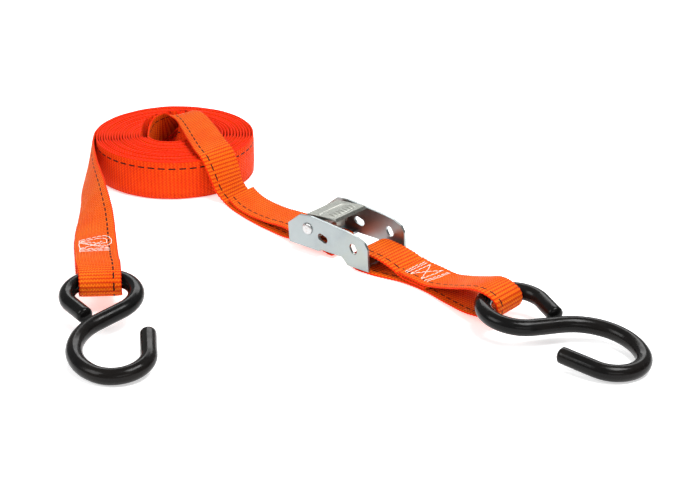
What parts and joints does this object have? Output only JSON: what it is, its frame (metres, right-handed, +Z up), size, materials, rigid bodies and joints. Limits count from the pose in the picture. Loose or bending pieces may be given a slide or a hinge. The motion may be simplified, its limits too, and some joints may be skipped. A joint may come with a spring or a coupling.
{
  "type": "cam buckle tie-down strap",
  "caption": "Cam-buckle tie-down: a rolled webbing strap and a short fixed strap joined by a spring cam buckle, with a vinyl-dipped S-hook sewn into each outer end",
  "frame": {"origin": "middle of the bounding box, on the flat surface the set lies on", "axes": "+Z up from the surface, +Y across the set from the two hooks toward the rolled strap, +X from the left hook toward the right hook"},
  "size_m": [0.3344, 0.3621, 0.0324],
  "materials": {
    "webbing": "woven matte",
    "thread": "matte",
    "zinc": "clear zinc plate",
    "zinc_lever": "clear zinc plate",
    "spring_wire": "satin",
    "core_steel": "satin",
    "vinyl": "gloss"
  },
  "bodies": {
    "buckle": {"buckle_frame": "zinc", "cam_pin": "zinc", "torsion_spring": "spring_wire", "strap_coil": "webbing", "strap_lead": "webbing", "strap_wrap": "webbing", "strap_tail": "webbing", "strap_hook_end": "webbing", "sewn_end": "webbing", "end_stitching": "thread"},
    "cam_lever": {"cam_lever": "zinc_lever"},
    "short_strap": {"bar_loop": "webbing", "sewn_middle": "webbing", "middle_stitching": "thread"},
    "right_loop": {"right_hook_loop": "webbing"},
    "right_hook": {"right_hook_steel": "core_steel", "right_hook_coat": "vinyl"},
    "left_loop": {"left_hook_loop": "webbing"},
    "left_hook": {"left_hook_steel": "core_steel", "left_hook_coat": "vinyl"}
  },
  "joints": [
    {"name": "cam_lever_pivot", "type": "hinge", "parent": "buckle", "child": "cam_lever", "pos_m": [-0.0085, 0.00481, 0.0176], "axis": [0.6428, 0.766, 0], "range_deg": [0, 25], "stiffness_Nm_per_rad": 0.4, "springref_deg": -8.59},
    {"name": "short_strap_on_bar", "type": "hinge", "parent": "buckle", "child": "short_strap", "pos_m": [0.02176, -0.02058, 0.0037], "axis": [-0.6428, -0.766, 0], "range_deg": [0, 12]},
    {"name": "right_webbing_flex", "type": "hinge", "parent": "short_strap", "child": "right_loop", "pos_m": [0.0582, -0.05525, 0.0059], "axis": [-0.7771, -0.6293, 0], "range_deg": [0, 60]},
    {"name": "right_hook_slew", "type": "hinge", "parent": "right_loop", "child": "right_hook", "pos_m": [0.09774, -0.11006, 0.01366], "axis": [0.0644, -0.0866, 0.9942], "range_deg": [-20, 20]},
    {"name": "left_webbing_flex", "type": "hinge", "parent": "buckle", "child": "left_loop", "pos_m": [-0.14297, -0.04225, 0.0185], "axis": [-0.9976, -0.0698, 0], "range_deg": [0, 60]},
    {"name": "left_hook_slew", "type": "hinge", "parent": "left_loop", "child": "left_hook", "pos_m": [-0.13611, -0.09561, 0.01431], "axis": [-0.0515, -0.1249, 0.9908], "range_deg": [-20, 20]}
  ]
}
